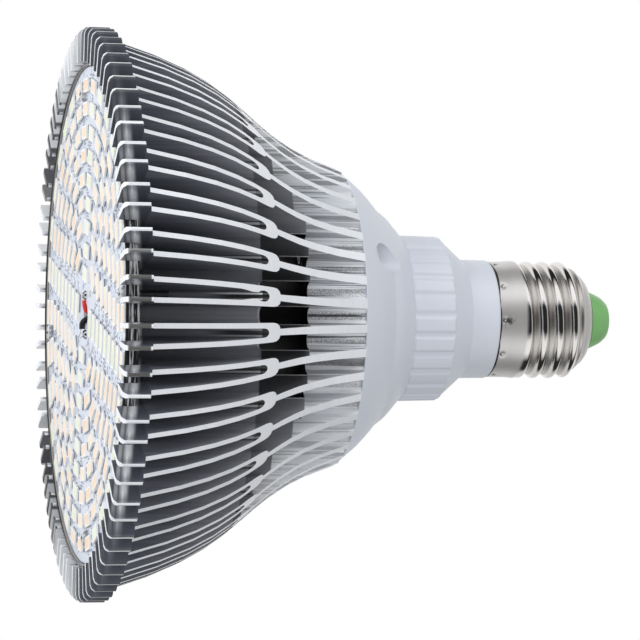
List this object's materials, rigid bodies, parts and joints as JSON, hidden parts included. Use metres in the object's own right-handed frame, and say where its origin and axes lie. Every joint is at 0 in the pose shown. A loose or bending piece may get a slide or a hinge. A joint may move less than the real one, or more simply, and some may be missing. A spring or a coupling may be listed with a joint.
{
  "type": "grow light bulb",
  "caption": "Round LED grow lamp: finned aluminium dish full of light packages, white neck and a standard screw cap.",
  "frame": {"origin": "centre of the front plane of the rim, where the lamp stands when it is put down on its face", "axes": "+Z along the lamp's axis, from the light face to the screw cap; +X through a forked fin that holds a board screw, towards the black lead"},
  "size_m": [0.125, 0.125, 0.1208],
  "materials": {
    "turned_aluminium": "extruded aluminium, turned bright on the bell and the rim",
    "tray_aluminium": "plain drawn sheet",
    "pad_silicone": "matt grey silicone sheet",
    "board_white": "white solder mask with thin traces",
    "led_white": "white moulded packages",
    "phosphor_amber": "pale orange phosphor gel",
    "phosphor_lime": "pale yellow green phosphor gel",
    "screw_steel": "zinc plated steel",
    "lead_red": "red silicone insulation",
    "lead_black": "black insulation",
    "solder": "bright solder",
    "sleeve_black": "black flame resistant plastic",
    "board_green": "green solder mask",
    "ferrite": "ferrite",
    "coil_tape": "yellow winding tape",
    "can_blue": "blue sleeved can",
    "can_grey": "dark sleeved can",
    "film_yellow": "yellow box",
    "choke_black": "ferrite drum with shrink tube",
    "fuse_green": "coated resistor",
    "chip_black": "moulded package",
    "housing_white": "cool white moulded plastic with a fine satin grain",
    "cap_nickel": "nickel plated sheet, polished",
    "nose_green": "green moulded plastic",
    "contact_brass": "plain brass",
    "lead_brown": "brown insulation",
    "lead_blue": "blue insulation"
  },
  "bodies": {
    "root": {"heat_sink": "turned_aluminium", "led_tray": "tray_aluminium", "transfer_pad": "pad_silicone", "light_board": "board_white", "led_packages": "led_white", "amber_phosphor": "phosphor_amber", "lime_phosphor": "phosphor_lime", "board_screws": "screw_steel", "red_lead": "lead_red", "black_lead": "lead_black", "board_solder": "solder", "driver_sleeve": "sleeve_black", "driver_board": "board_green", "transformer_core": "ferrite", "transformer_coil": "coil_tape", "input_capacitor": "can_blue", "output_capacitor": "can_grey", "film_capacitor": "film_yellow", "choke": "choke_black", "fuse_resistor": "fuse_green", "bridge_rectifier": "chip_black", "controller_chip": "chip_black", "neck_housing": "housing_white", "housing_screws": "screw_steel", "cap_shell": "cap_nickel", "cap_nose": "nose_green", "centre_contact": "contact_brass", "live_lead": "lead_brown", "neutral_lead": "lead_blue"}
  },
  "joints": []
}
